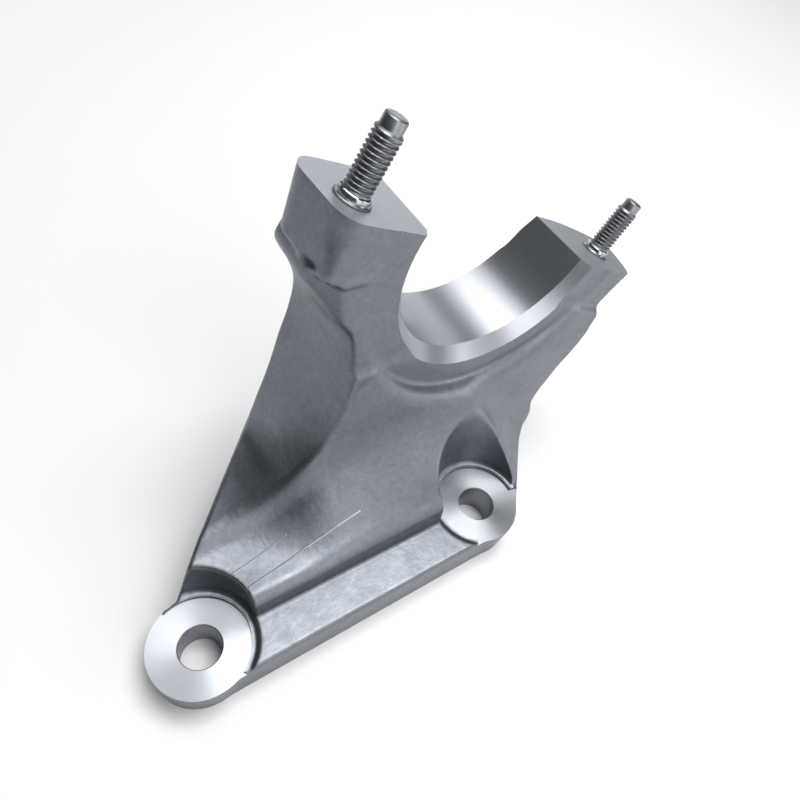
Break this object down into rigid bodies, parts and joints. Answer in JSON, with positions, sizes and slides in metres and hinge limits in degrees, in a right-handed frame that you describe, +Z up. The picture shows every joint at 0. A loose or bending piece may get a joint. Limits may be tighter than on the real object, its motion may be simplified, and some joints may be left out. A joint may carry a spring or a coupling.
{
  "type": "half shaft bracket",
  "caption": "Cast aluminium bracket that bolts to a flat mounting face and holds a drive shaft's support bearing in a half-round saddle, with threaded studs for a clamp cap.",
  "frame": {"origin": "on the foot's mating plane, midway between the two foot bolt holes", "axes": "+X along the line of foot bolts towards the bolt under the saddle, +Y along the bearing axis from the machined near face to the back, +Z up, away from the mating plane"},
  "size_m": [0.1577, 0.0588, 0.1205],
  "materials": {
    "cast_aluminium": "as-cast matte skin with machined faces",
    "stud_steel": "plated thread, polished collar"
  },
  "bodies": {
    "root": {"bracket_casting": "cast_aluminium", "clamp_stud_left": "stud_steel", "clamp_stud_right": "stud_steel"}
  },
  "joints": []
}
